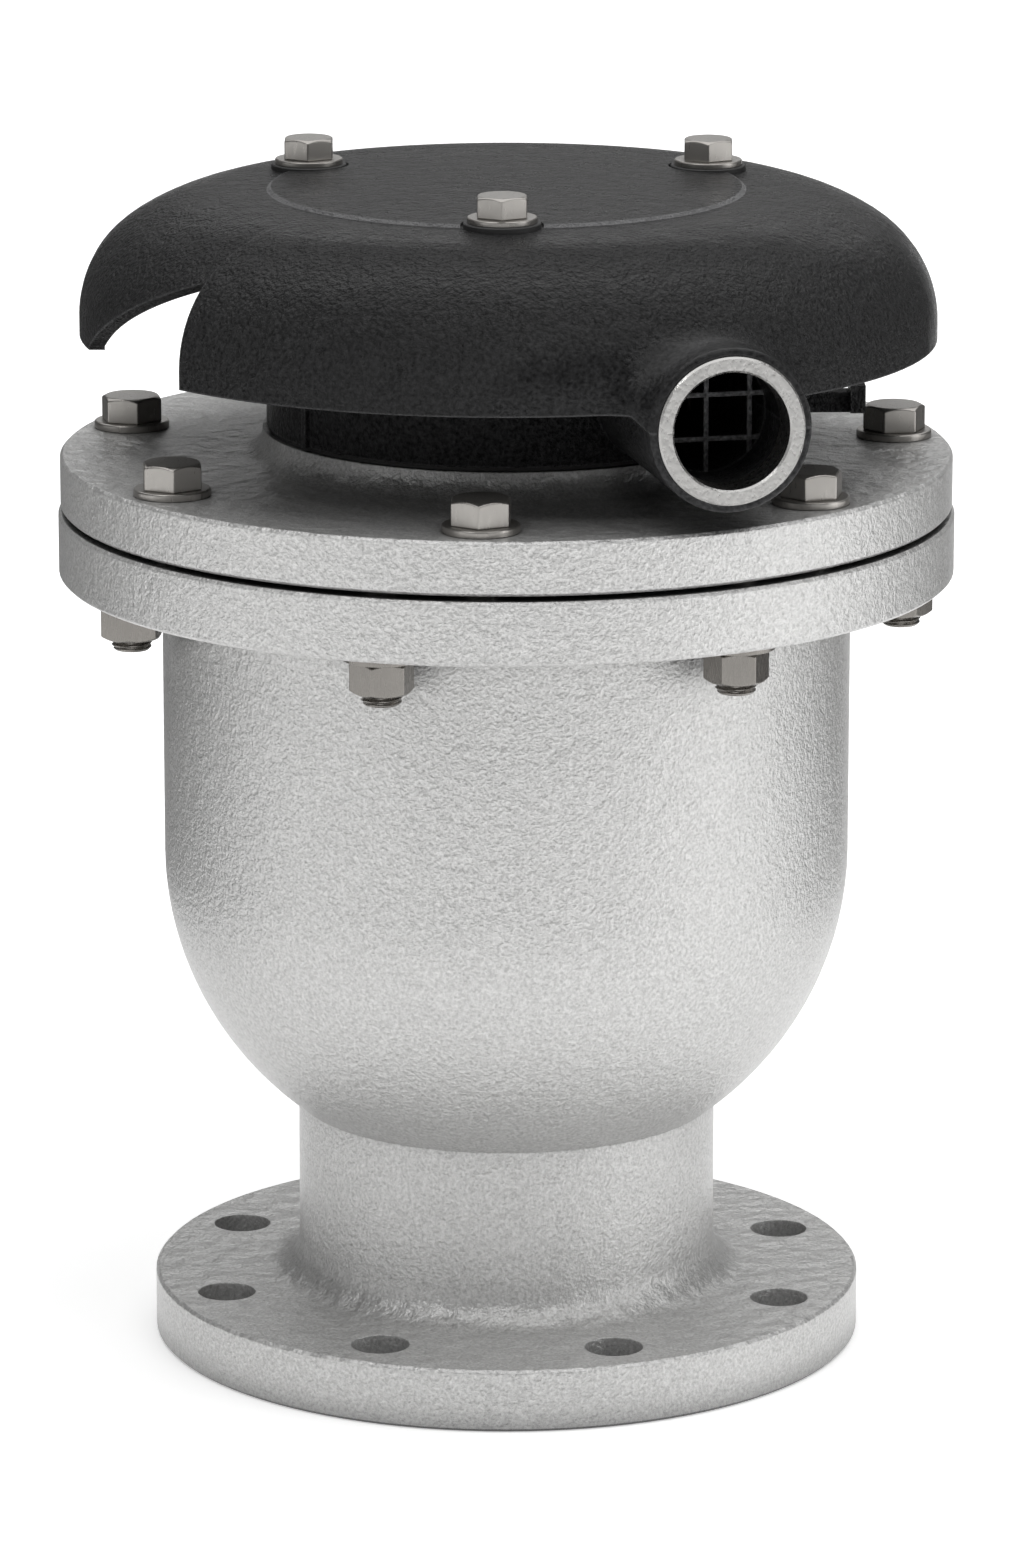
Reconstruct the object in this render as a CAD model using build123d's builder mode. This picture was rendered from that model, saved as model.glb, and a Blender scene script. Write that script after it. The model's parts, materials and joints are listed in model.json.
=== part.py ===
from build123d import *
from math import asin, cos, degrees, radians, sin, sqrt, tan
import os

# Kinetic air valve for a DN 150 pipe branch. Millimetres, +Z up along the valve's axis,
# origin at the centre of the connection flange's underside. The front of the valve faces -Y.

# Pipe connection
bore_d = 150
base_pcd = 240
base_flange_edge = 22.5
base_flange_t = 25
base_bolts = 8
base_hole_d = 23
base_turn = 20.6

# Body casting
neck_wall = 9
neck_fillet = 13
bowl_d = 274
bowl_wall = 9.5
bowl_depth = 132
bowl_side_z = 200
joint_z = 339
body_flange_edge = 20.75
body_flange_t = 25
flange_edge = 1.2
cast_corner = 3

# Cover casting
cover_gasket_t = 2
cover_gasket_edge = 2
cover_flange_setback = 0.95
cover_flange_t = 21
boss_d = 193
boss_h = 10
boss_rim = 0.5

# Joint fasteners: cap screws from above and studs from below on one circle
joint_offset = 20
joint_count = 7
screw_turn = -93.5
stud_turn = -107.5
m16_d = 16
m16_hex = 22
m16_head_h = 10
m16_nut_h = 13
m16_washer_d = 30
m16_washer_t = 3
m16_hole_d = 17.5
screw_grip = 20
stud_grip = 15
stud_tail = 4.5
tap_runout = 2
hex_land = 0.94
hex_chamfer = 0.55
socket_share = 0.42
sink_socket_share = 0.33
tip_share = 1 / 12
washer_edge_share = 1 / 6

# Clearances
thread_gap = 0.05
seat_gap = 0.1
slide_gap = 0.05
rest_gap = 0.3
head_clear = 0.6
boss_clear = 2
spot_clear = 1

# Orifice seat, seal and clamp ring under the cover
seat_w = 23
seat_t = 8
seal_w = 11.5
seal_t = 5
seal_inset = 0.5
clamp_lip = 3
clamp_t = 3
clamp_screws = 6
m6_d = 6
m6_head_d = 10
m6_head_h = 6
m6_sink_d = 11.3
m6_grip = 8

# Float, stem and guides
stroke = 45
float_d = 200
float_h = 165
float_wall = 2
float_crown_r = 206
float_knuckle = 14
float_hub_d = 40
float_hub_t = 5
stem_d = 16
stem_nut_h = 10
stem_engagement = 20
stem_head = 5
guide_hub_d = 34
guide_hub_h = 30
guide_ring_t = 6
guide_ring_w = 9
guide_step = 5
guide_arms = 4
guide_turn = 45
guide_arm_w = 8
guide_arm_h = 12
guide_hub_edge = 1.5
bush_wall = 4
lower_ring_w = 7
lower_ring_t = 10
lower_step = 4
clip_t = 2.5
clip_w = 5
clip_groove = 2
clip_opening = 24

# Hood base: foot ring, low wall, posts and the lower half of the nozzle
foot_gasket_t = 1.5
foot_w = 19
foot_t = 7
base_wall = 4
base_top_z = 428
base_screws = 6
post_d = 22
post_h = 21
post_cone_h = 8
insert_wall = 2.5
insert_h = 14
rib_turn = -144
rib_w = 2.6
rib_out = 2.6
arm_turn = 2
arm_w = 9
arm_z = 376.5
arm_h = 8
arm_reach = 136
lug_h = 11
lug_l = 6
lug_w = 14

# Hood
hood_d = 340
hood_wall = 6
skirt_z = 408
shoulder_z = 415
shoulder_low_r = 46
shoulder_turn = 57
shoulder_high_r = 78.7
crease_d = 188
crown_step = 1.2
crown_h = 1.8
hood_bolts = 3
hood_bolt_pcd = 184
hood_bolt_turn = -91
m12_d = 12
m12_hex = 19
m12_head_h = 8.3
m12_washer_d = 27
m12_washer_t = 2.2
rubber_washer_d = 30
rubber_washer_t = 2.2
m12_hole_d = 13
m12_grip = 16
hood_rib_w = 4
hood_rib_low_z = 434

# Side outlet of the hood: a scooped sector with an open window
scoop_depth = 11
scoop_aim = -95
scoop_front = -137
scoop_back = -192
window_back_y = -34
window_corner_z = 409.5
window_slope = 30
window_corner_r = 12

# Nozzle on the hood
nozzle_turn = 13
nozzle_offset = 43.9
nozzle_reach = 183.6
nozzle_z = 402.8
nozzle_d = 62.6
nozzle_bore_d = 44.8
nozzle_passage_d = 46.4
nozzle_fairing = 18
nozzle_lip = 1.5
nozzle_ring_d = 56.6
nozzle_ring_l = 16
nozzle_ring_proud = 1.5
grille_depth = 38
grille_t = 1.8
grille_rim = 2.6
grille_pitch = 17
grille_drop = 2
grille_bar = 1.8

# Screen inside the hood
screen_step = 1
screen_wall = 1.6
screen_slots = 24
screen_slot_w = 9
screen_bar_h = 8

# Radii and heights worked out from the sizes above
bore_r = bore_d / 2
neck_r = bore_r + neck_wall
bowl_r = bowl_d / 2
bowl_in_r = bowl_r - bowl_wall
bowl_in_depth = bowl_depth - bowl_wall
joint_r = bowl_r + joint_offset
base_flange_r = base_pcd / 2 + base_flange_edge
body_flange_r = joint_r + body_flange_edge
cover_flange_r = body_flange_r - cover_flange_setback
cover_z = joint_z + cover_gasket_t
flange_top_z = cover_z + cover_flange_t
boss_r = boss_d / 2
boss_z = flange_top_z + boss_h
seat_r = bore_r + seat_w
seat_top_z = cover_z + seat_t
seal_in_r = bore_r + seal_inset
seal_r = seal_in_r + seal_w
seal_z = cover_z - seal_t
clamp_z = seal_z - clamp_t
clamp_plane = Plane(origin=(0, 0, clamp_z), x_dir=(1, 0, 0), z_dir=(0, 0, -1))
clamp_screw_r = (seal_r + seat_r) / 2
stem_r = stem_d / 2
stem_bore_r = stem_r + slide_gap
bush_r = stem_bore_r + bush_wall
seal_touch_z = seal_z - stroke - rest_gap
float_top_z = seal_touch_z + float_crown_r - sqrt(float_crown_r ** 2 - seal_in_r ** 2)
float_bottom_z = float_top_z - float_h
float_mid_z = float_top_z - float_h / 2
stem_stack = m16_washer_t + stem_nut_h
lower_hub_z = float_bottom_z - stem_stack - rest_gap
lower_ring_r = bore_r + lower_step
lower_seat_z = bowl_side_z - bowl_in_depth * sqrt(1 - (lower_ring_r / bowl_in_r) ** 2)
lower_ring_z = lower_seat_z - clip_t - lower_ring_t - lower_step
upper_ring_z = boss_z - guide_ring_t
upper_ring_r = bore_r + guide_step
upper_hub_top_z = upper_ring_z + guide_hub_h
lower_arm = lower_ring_r - lower_ring_w / 2
upper_arm = upper_ring_r - guide_ring_w / 2
stem_bottom_z = lower_hub_z - stroke - stem_engagement
stem_top_z = upper_hub_top_z + stem_head
foot_z = boss_z + foot_gasket_t
base_r = boss_r - boss_rim - 1
foot_in_r = base_r - foot_w
base_in_r = base_r - base_wall
arm_in_r = base_r - base_wall / 2
base_screw_r = base_in_r - m6_head_d / 2 - head_clear
base_screw_turn = hood_bolt_turn + 180 / base_screws
insert_r = m12_d / 2 + insert_wall
hood_bolt_r = hood_bolt_pcd / 2
hood_r = hood_d / 2
crease_r = crease_d / 2
low_centre = (hood_r - shoulder_low_r, shoulder_z)
shoulder_step = shoulder_high_r - shoulder_low_r
high_centre = (
    low_centre[0] - shoulder_step * cos(radians(shoulder_turn)),
    low_centre[1] - shoulder_step * sin(radians(shoulder_turn)),
)
hood_top_z = high_centre[1] + shoulder_high_r
roof_z = hood_top_z - hood_wall
crown_z = hood_top_z + crown_step + crown_h
crown_edge_r = crease_r - crown_step
crown_r = (crown_edge_r ** 2 + crown_h ** 2) / (2 * crown_h)
hood_base_gap_z = base_top_z + seat_gap
nozzle_r = nozzle_d / 2
nozzle_bore_r = nozzle_bore_d / 2
passage_r = nozzle_passage_d / 2
nozzle_dir = Vector(sin(radians(nozzle_turn)), -cos(radians(nozzle_turn)), 0)
nozzle_side = Vector(cos(radians(nozzle_turn)), sin(radians(nozzle_turn)), 0)
nozzle_root = nozzle_side * nozzle_offset + Vector(0, 0, nozzle_z)
nozzle_ring_r = nozzle_ring_d / 2
nozzle_low_z = nozzle_z - nozzle_d
scoop_shift = Vector(-cos(radians(scoop_aim)), -sin(radians(scoop_aim)), 0) * scoop_depth


def nozzle_plane(reach):
    """plane across the nozzle at a distance from the valve's axis, facing out"""
    return Plane(origin=nozzle_root + nozzle_dir * reach, x_dir=nozzle_side, z_dir=nozzle_dir)


# Shapes used by several pieces
def ring(outer_r, inner_r, low, high):
    """flat ring between two heights"""
    with BuildPart() as piece:
        with BuildSketch(Plane.XY.offset(low)):
            Circle(outer_r)
            if inner_r > 0:
                Circle(inner_r, mode=Mode.SUBTRACT)
        extrude(amount=high - low)
    return piece.part


def bowl(radius, depth):
    """half ellipsoid with a straight wall up to the joint face"""
    with BuildPart() as piece:
        with BuildSketch(Plane.XZ):
            with BuildLine():
                bottom = EllipticalCenterArc((0, bowl_side_z), radius, depth, -90, arc_size=90)
                Polyline(bottom @ 1, (radius, joint_z), (0, joint_z), bottom @ 0)
            make_face()
        revolve(axis=Axis.Z)
    return piece.part


def dome(inset, low):
    """hood form: straight skirt, two tangent shoulder arcs, flat rim and a raised, crowned top"""
    half_crown = degrees(asin(crown_edge_r / crown_r))
    with BuildPart() as piece:
        with BuildSketch(Plane.XZ):
            with BuildLine():
                skirt = Line((hood_r - inset, low), (hood_r - inset, shoulder_z))
                CenterArc(low_centre, shoulder_low_r - inset, 0, shoulder_turn)
                CenterArc(high_centre, shoulder_high_r - inset, shoulder_turn, 90 - shoulder_turn)
                top = hood_top_z - inset
                step_z = top + crown_step
                Polyline((high_centre[0], top), (crease_r, top), (crown_edge_r, step_z))
                crown = CenterArc((0, step_z + crown_h - crown_r), crown_r, 90 - half_crown, half_crown)
                Polyline(crown @ 1, (0, low), skirt @ 0)
            make_face()
        revolve(axis=Axis.Z)
    return piece.part


def side_sector(wall):
    """prism over the hood's scooped side, its front end moved towards the front by a wall"""
    far = 2 * hood_r
    front_dir = Vector(cos(radians(scoop_front)), sin(radians(scoop_front)))
    back_dir = Vector(cos(radians(scoop_back)), sin(radians(scoop_back)))
    front_foot = Vector(-front_dir.Y, front_dir.X) * wall
    with BuildPart() as piece:
        with BuildSketch(Plane.XY.offset(nozzle_low_z)):
            with BuildLine():
                Polyline(front_foot, front_foot + front_dir * far, back_dir * far, close=True)
            make_face()
            Circle(crease_r, mode=Mode.SUBTRACT)
        extrude(amount=crown_z - nozzle_low_z)
    return piece.part


def scoop_cut(inset):
    """what the scoop takes off the hood form: the side sector outside the same dome moved back"""
    with BuildPart() as piece:
        add(side_sector(inset))
        with Locations(scoop_shift):
            add(dome(inset, nozzle_low_z), mode=Mode.SUBTRACT)
    return piece.part


def hexagon(across_flats, height, both_ends):
    """hexagonal prism with turned corners"""
    flat_r = across_flats / 2
    corner_r = across_flats / sqrt(3)
    land_r = hex_land * flat_r
    drop = (corner_r - land_r) * hex_chamfer
    foot = [(land_r, 0), (corner_r, drop)] if both_ends else [(corner_r, 0)]
    with BuildPart() as piece:
        with BuildSketch():
            RegularPolygon(flat_r, 6, major_radius=False)
        extrude(amount=height)
        with BuildSketch(Plane.XZ):
            with BuildLine():
                head = [(corner_r, height - drop), (land_r, height), (0, height)]
                Polyline((0, 0), *foot, *head, close=True)
            make_face()
        revolve(axis=Axis.Z, mode=Mode.INTERSECT)
    return piece.part


def rod(diameter, length, tip):
    """round bar hanging down from the origin with a chamfered tip"""
    with BuildPart() as piece:
        with BuildSketch():
            Circle(diameter / 2)
        extrude(amount=-length)
        chamfer(piece.faces().sort_by(Axis.Z)[0].edges(), tip)
    return piece.part


def hex_bolt(diameter, across_flats, head_h, length):
    """bolt with its head's seat at the origin and its shank down"""
    with BuildPart() as piece:
        add(hexagon(across_flats, head_h, False))
        add(rod(diameter, length, diameter * tip_share))
    return piece.part


def hex_nut(diameter, across_flats, height):
    """nut standing on the origin"""
    with BuildPart() as piece:
        add(hexagon(across_flats, height, True))
        with BuildSketch():
            Circle(diameter / 2 + thread_gap)
        extrude(amount=height, mode=Mode.SUBTRACT)
    return piece.part


def socket_screw(diameter, head_d, head_h, length):
    """socket head screw with its head's seat at the origin and its shank down"""
    with BuildPart() as piece:
        with BuildSketch():
            Circle(head_d / 2)
        extrude(amount=head_h)
        with BuildSketch(Plane.XY.offset(head_h)):
            RegularPolygon(diameter * socket_share, 6, major_radius=False)
        extrude(amount=-head_h / 2, mode=Mode.SUBTRACT)
        add(rod(diameter, length, diameter * tip_share))
    return piece.part


def countersunk_screw(diameter, head_d, length):
    """countersunk socket screw with its head's face at the origin and its shank down"""
    head_h = (head_d - diameter) / 2
    with BuildPart() as piece:
        add(rod(diameter, length, diameter * tip_share))
        Cone(diameter / 2, head_d / 2, head_h, align=(Align.CENTER, Align.CENTER, Align.MAX))
        with BuildSketch():
            RegularPolygon(diameter * sink_socket_share, 6, major_radius=False)
        extrude(amount=-head_h, mode=Mode.SUBTRACT)
    return piece.part


def washer(outer_d, hole_d, thickness):
    """plain washer standing on the origin"""
    with BuildPart() as piece:
        with BuildSketch():
            Circle(outer_d / 2)
            Circle(hole_d / 2, mode=Mode.SUBTRACT)
        extrude(amount=thickness)
        rim = piece.faces().sort_by(Axis.Z)[-1].edges().sort_by(SortBy.LENGTH)[-1]
        chamfer(rim, thickness * washer_edge_share)
    return piece.part


def float_form(inset):
    """upper half of the float: straight side, knuckle and spherical crown"""
    radius = float_d / 2 - inset
    crown = float_crown_r - inset
    centre_z = float_top_z - float_crown_r
    edge_z = centre_z + sqrt(crown ** 2 - radius ** 2)
    with BuildPart() as piece:
        with BuildSketch(Plane.XZ) as outline:
            with BuildLine():
                side = Line((radius, float_mid_z), (radius, edge_z))
                top = ThreePointArc(
                    side @ 1,
                    (radius / 2, centre_z + sqrt(crown ** 2 - radius ** 2 / 4)),
                    (0, centre_z + crown),
                )
                Polyline(top @ 1, (0, float_mid_z), side @ 0)
            make_face()
            edge = outline.vertices().sort_by(Axis.X)[-2:].sort_by(Axis.Y)[-1]
            fillet(edge, float_knuckle - inset)
        revolve(axis=Axis.Z)
    return piece.part


def nozzle_half(keep, clear_r):
    """upper or lower half of the nozzle's wall, outside a round wall of radius clear_r"""
    with BuildPart() as piece:
        with BuildSketch(nozzle_plane(base_r / 2)):
            Circle(nozzle_r)
        extrude(amount=nozzle_reach - base_r / 2)
        lip = piece.faces().filter_by(GeomType.PLANE).sort_by(lambda f: f.center().length)[-1]
        fillet(lip.edges(), nozzle_lip)
        add(ring(clear_r, 0, nozzle_low_z, nozzle_z + nozzle_d), mode=Mode.SUBTRACT)
        split(bisect_by=Plane.XY.offset(nozzle_z), keep=keep)
    return piece.part


def nozzle_passage():
    """passage with the recess for the end ring and the groove for the grille"""
    with BuildPart() as piece:
        with BuildSketch(nozzle_plane(base_r / 2)):
            Circle(passage_r)
        extrude(amount=nozzle_reach - base_r / 2 + nozzle_ring_proud)
        with BuildSketch(nozzle_plane(nozzle_reach + nozzle_ring_proud)):
            Circle(nozzle_ring_r + seat_gap)
        extrude(amount=-nozzle_ring_l - seat_gap)
        with BuildSketch(nozzle_plane(nozzle_reach - grille_depth + seat_gap)):
            Circle(passage_r + grille_rim + seat_gap)
        extrude(amount=-grille_t - 2 * seat_gap)
    return piece.part


# Body casting: connection flange, neck, bowl and joint flange
with BuildPart() as body:
    add(ring(base_flange_r, 0, 0, base_flange_t))
    add(ring(neck_r, 0, 0, bowl_side_z))
    add(bowl(bowl_r, bowl_depth))
    add(ring(body_flange_r, 0, joint_z - body_flange_t, joint_z))
    neck_foot = body.edges().filter_by(GeomType.CIRCLE).filter_by(
        lambda e: abs(e.radius - neck_r) < 0.01 and abs(e.center().Z - base_flange_t) < 0.01
    )
    fillet(neck_foot, neck_fillet)
    bowl_head = body.edges().filter_by(GeomType.CIRCLE).filter_by(
        lambda e: abs(e.radius - bowl_r) < 0.01 and abs(e.center().Z - joint_z + body_flange_t) < 0.01
    )
    chamfer(bowl_head, cast_corner)
    rims = body.edges().filter_by(GeomType.CIRCLE).filter_by(
        lambda e: e.radius > base_flange_r - 0.01
    )
    chamfer(rims, flange_edge)
    add(bowl(bowl_in_r, bowl_in_depth), mode=Mode.SUBTRACT)
    add(ring(bore_r, 0, 0, bowl_side_z), mode=Mode.SUBTRACT)
    add(ring(lower_ring_r, 0, lower_ring_z, bowl_side_z - bowl_in_depth / 2), mode=Mode.SUBTRACT)
    clip_low = lower_ring_z + lower_ring_t
    add(ring(lower_ring_r + clip_groove, 0, clip_low, clip_low + clip_t), mode=Mode.SUBTRACT)
    with BuildSketch():
        with PolarLocations(base_pcd / 2, base_bolts, base_turn):
            Circle(base_hole_d / 2)
    extrude(amount=base_flange_t, mode=Mode.SUBTRACT)
    with BuildSketch(Plane.XY.offset(joint_z)):
        with PolarLocations(joint_r, joint_count, screw_turn):
            Circle(m16_d / 2 + thread_gap)
    extrude(amount=-screw_grip - tap_runout, mode=Mode.SUBTRACT)
    with BuildSketch(Plane.XY.offset(joint_z)):
        with PolarLocations(joint_r, joint_count, stud_turn):
            Circle(m16_hole_d / 2)
    extrude(amount=-body_flange_t, mode=Mode.SUBTRACT)

# Flat gasket inside the bolt circle, which leaves a narrow gap round the joint
with BuildPart() as cover_gasket:
    add(ring(joint_r - m16_hole_d / 2 - cover_gasket_edge, bowl_in_r, joint_z, cover_z))

# Cover casting: flange, raised boss, throat and the recesses for seat and guide
with BuildPart() as cover:
    add(ring(cover_flange_r, 0, cover_z, flange_top_z))
    add(ring(boss_r, 0, cover_z, boss_z))
    boss_foot = cover.edges().filter_by(GeomType.CIRCLE).filter_by(
        lambda e: abs(e.radius - boss_r) < 0.01 and abs(e.center().Z - flange_top_z) < 0.01
    )
    fillet(boss_foot, boss_h - boss_rim)
    rims = cover.edges().filter_by(GeomType.CIRCLE).filter_by(
        lambda e: e.radius > cover_flange_r - 0.01
    )
    chamfer(rims, flange_edge)
    add(ring(bore_r, 0, cover_z, boss_z), mode=Mode.SUBTRACT)
    add(ring(seat_r, 0, cover_z, seat_top_z), mode=Mode.SUBTRACT)
    add(ring(upper_ring_r, 0, upper_ring_z, boss_z), mode=Mode.SUBTRACT)
    with BuildSketch(Plane.XY.offset(cover_z)):
        with PolarLocations(joint_r, joint_count, screw_turn):
            Circle(m16_hole_d / 2)
    extrude(amount=cover_flange_t, mode=Mode.SUBTRACT)
    with BuildSketch(Plane.XY.offset(cover_z)):
        with PolarLocations(joint_r, joint_count, stud_turn):
            Circle(m16_d / 2 + thread_gap)
    extrude(amount=stud_grip + tap_runout, mode=Mode.SUBTRACT)
    with BuildSketch(Plane.XY.offset(seat_top_z)):
        with PolarLocations(clamp_screw_r, clamp_screws, 0):
            Circle(m6_d / 2 + thread_gap)
    extrude(amount=m6_grip + tap_runout / 2, mode=Mode.SUBTRACT)
    with BuildSketch(Plane.XY.offset(boss_z)):
        with PolarLocations(base_screw_r, base_screws, base_screw_turn):
            Circle(m6_d / 2 + thread_gap)
    extrude(amount=-m6_grip - tap_runout / 2, mode=Mode.SUBTRACT)

# Orifice seat ring, pressed up into the cover's recess
with BuildPart() as orifice_seat:
    add(ring(seat_r - seat_gap, bore_r, cover_z, seat_top_z))
    with BuildSketch(Plane.XY.offset(cover_z)):
        with PolarLocations(clamp_screw_r, clamp_screws, 0):
            Circle(m6_d / 2 + seat_gap)
    extrude(amount=seat_t, mode=Mode.SUBTRACT)

# Rubber seal that the float closes against
with BuildPart() as orifice_seal:
    add(ring(seal_r, seal_in_r, seal_z, cover_z))

# Clamp ring that holds the seal's outer edge against the seat
with BuildPart() as seal_clamp_ring:
    add(ring(seat_r - seat_gap, seal_r + seat_gap, seal_z, cover_z))
    add(ring(seat_r - seat_gap, seal_r - clamp_lip, clamp_z, seal_z))
    with Locations(clamp_plane):
        with PolarLocations(clamp_screw_r, clamp_screws, 0):
            CounterSinkHole(m6_d / 2 + seat_gap, m6_sink_d / 2 + seat_gap, clamp_t + seal_t)

with BuildPart() as clamp_screw_set:
    with Locations(clamp_plane):
        with PolarLocations(clamp_screw_r, clamp_screws, 0):
            add(countersunk_screw(m6_d, m6_sink_d, clamp_t + seal_t + seat_t + m6_grip))

# Float: two pressed half shells on the guide stem, clamped between nuts
with BuildPart() as float_upper_shell:
    add(float_form(0))
    add(float_form(float_wall), mode=Mode.SUBTRACT)
    add(ring(float_hub_d / 2, 0, float_top_z - float_hub_t, float_top_z))
    add(ring(stem_r + seat_gap, 0, float_mid_z, float_top_z), mode=Mode.SUBTRACT)

with BuildPart() as float_lower_shell:
    mirror(float_upper_shell.part, about=Plane.XY.offset(float_mid_z))

with BuildPart() as float_stem:
    with Locations((0, 0, stem_top_z)):
        add(rod(stem_d, stem_top_z - stem_bottom_z, stem_r / 4))
    chamfer(float_stem.faces().sort_by(Axis.Z)[-1].edges(), stem_r / 4)

with BuildPart() as stem_washers:
    with Locations((0, 0, float_top_z), (0, 0, float_bottom_z - m16_washer_t)):
        add(washer(m16_washer_d, stem_d + 2 * seat_gap, m16_washer_t))

with BuildPart() as stem_nuts:
    with Locations((0, 0, float_top_z + m16_washer_t), (0, 0, float_bottom_z - stem_stack)):
        add(hex_nut(stem_d, m16_hex, stem_nut_h))

# Lower guide in the mouth of the neck, held by a snap ring
with BuildPart() as lower_guide:
    add(ring(lower_ring_r - seat_gap, lower_ring_r - lower_ring_w, lower_ring_z, clip_low))
    with BuildSketch(Plane.XY.offset(lower_ring_z)):
        with PolarLocations(lower_arm / 2, guide_arms, guide_turn):
            Rectangle(lower_arm, guide_arm_w)
    extrude(amount=lower_ring_t)
    add(ring(guide_hub_d / 2, 0, lower_ring_z, lower_hub_z))
    add(ring(bush_r, 0, lower_ring_z, lower_hub_z), mode=Mode.SUBTRACT)
    hub_top = lower_guide.edges().filter_by(GeomType.CIRCLE).group_by(Axis.Z)[-1]
    fillet(hub_top.sort_by(SortBy.RADIUS)[-1], guide_hub_edge)

with BuildPart() as lower_bush:
    add(ring(bush_r - seat_gap / 2, stem_bore_r, lower_ring_z, lower_hub_z))

with BuildPart() as guide_snap_ring:
    add(ring(
        lower_ring_r + clip_groove - seat_gap, lower_ring_r + clip_groove - clip_w,
        clip_low, clip_low + clip_t - seat_gap,
    ))
    with BuildSketch(Plane.XY.offset(clip_low)):
        with Locations((lower_ring_r, 0)):
            Rectangle(4 * clip_w, clip_opening)
    extrude(amount=clip_t, mode=Mode.SUBTRACT)

# Upper guide across the throat, trapped under the hood base
with BuildPart() as upper_guide:
    add(ring(upper_ring_r - seat_gap, upper_ring_r - guide_ring_w, upper_ring_z, boss_z))
    with BuildSketch(Plane.XY.offset(upper_ring_z)):
        with PolarLocations(upper_arm / 2, guide_arms, guide_turn):
            Rectangle(upper_arm, guide_arm_w)
    extrude(amount=guide_ring_t)
    with BuildSketch(Plane.XY.offset(upper_ring_z)):
        with PolarLocations(upper_arm / 4, guide_arms, guide_turn):
            Rectangle(upper_arm / 2, guide_arm_w)
    extrude(amount=guide_arm_h)
    add(ring(guide_hub_d / 2, 0, upper_ring_z, upper_hub_top_z))
    add(ring(bush_r, 0, upper_ring_z, upper_hub_top_z), mode=Mode.SUBTRACT)

with BuildPart() as upper_bush:
    add(ring(bush_r - seat_gap / 2, stem_bore_r, upper_ring_z, upper_hub_top_z))

# Insect screen standing on the upper guide under the hood's roof
with BuildPart() as screen:
    screen_in_r = upper_ring_r - guide_ring_w + screen_step
    screen_r = screen_in_r + screen_wall
    screen_top_z = roof_z - rest_gap
    add(ring(screen_r, screen_in_r, boss_z, screen_top_z))
    slot_h = (screen_top_z - boss_z - 3 * screen_bar_h) / 2
    with Locations(
        (0, 0, boss_z + screen_bar_h + slot_h / 2),
        (0, 0, screen_top_z - screen_bar_h - slot_h / 2),
    ):
        with PolarLocations(0, screen_slots // 2, 90 / screen_slots, 180):
            Box(3 * screen_r, screen_slot_w, slot_h, mode=Mode.SUBTRACT)

# Rubber joint under the hood base
with BuildPart() as foot_gasket:
    add(ring(base_r - 1, foot_in_r, boss_z, foot_z))
    with BuildSketch(Plane.XY.offset(boss_z)):
        with PolarLocations(base_screw_r, base_screws, base_screw_turn):
            Circle(m6_d / 2 + seat_gap)
    extrude(amount=foot_gasket_t, mode=Mode.SUBTRACT)

# Hood base moulding
with BuildPart() as hood_base:
    add(ring(base_r, base_in_r, foot_z, base_top_z))
    add(ring(base_r, foot_in_r, foot_z, foot_z + foot_t))
    with PolarLocations(hood_bolt_r, hood_bolts, hood_bolt_turn):
        with Locations((0, 0, base_top_z - post_h)):
            Cylinder(post_d / 2, post_h, align=(Align.CENTER, Align.CENTER, Align.MIN))
            Cone(
                base_wall / 2, post_d / 2, post_cone_h,
                align=(Align.CENTER, Align.CENTER, Align.MAX),
            )
    with BuildSketch(Plane.XY.offset(foot_z)):
        with PolarLocations(base_r, 1, rib_turn):
            Rectangle(2 * rib_out, rib_w)
    extrude(amount=base_top_z - foot_z)
    with BuildSketch(Plane.XY.offset(arm_z)):
        with PolarLocations((arm_in_r + arm_reach) / 2, 1, arm_turn):
            Rectangle(arm_reach - arm_in_r, arm_w)
    extrude(amount=arm_h)
    with BuildSketch(Plane.XY.offset(arm_z)):
        with PolarLocations(arm_reach + lug_l / 2, 1, arm_turn):
            Rectangle(lug_l, lug_w)
    extrude(amount=lug_h)
    add(nozzle_half(Keep.BOTTOM, base_in_r))
    add(nozzle_passage(), mode=Mode.SUBTRACT)
    add(ring(boss_r + boss_clear, 0, flange_top_z, foot_z), mode=Mode.SUBTRACT)
    with BuildSketch(Plane.XY.offset(foot_z)):
        with PolarLocations(base_screw_r, base_screws, base_screw_turn):
            Circle(m6_d / 2 + seat_gap)
    extrude(amount=foot_t, mode=Mode.SUBTRACT)
    with BuildSketch(Plane.XY.offset(base_top_z)):
        with PolarLocations(hood_bolt_r, hood_bolts, hood_bolt_turn):
            Circle(m12_hole_d / 2)
    extrude(amount=-post_h + base_wall, mode=Mode.SUBTRACT)
    with BuildSketch(Plane.XY.offset(base_top_z)):
        with PolarLocations(hood_bolt_r, hood_bolts, hood_bolt_turn):
            Circle(insert_r)
    extrude(amount=-insert_h, mode=Mode.SUBTRACT)

with BuildPart() as base_screw_set:
    with PolarLocations(base_screw_r, base_screws, base_screw_turn):
        with Locations((0, 0, foot_z + foot_t)):
            add(socket_screw(m6_d, m6_head_d, m6_head_h, foot_t + foot_gasket_t + m6_grip))

# Brass threaded inserts in the posts, which the hood bolts screw into
with BuildPart() as post_inserts:
    with PolarLocations(hood_bolt_r, hood_bolts, hood_bolt_turn):
        with Locations((0, 0, base_top_z - insert_h)):
            add(ring(insert_r - thread_gap, m12_d / 2 + thread_gap, 0, insert_h))

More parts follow.
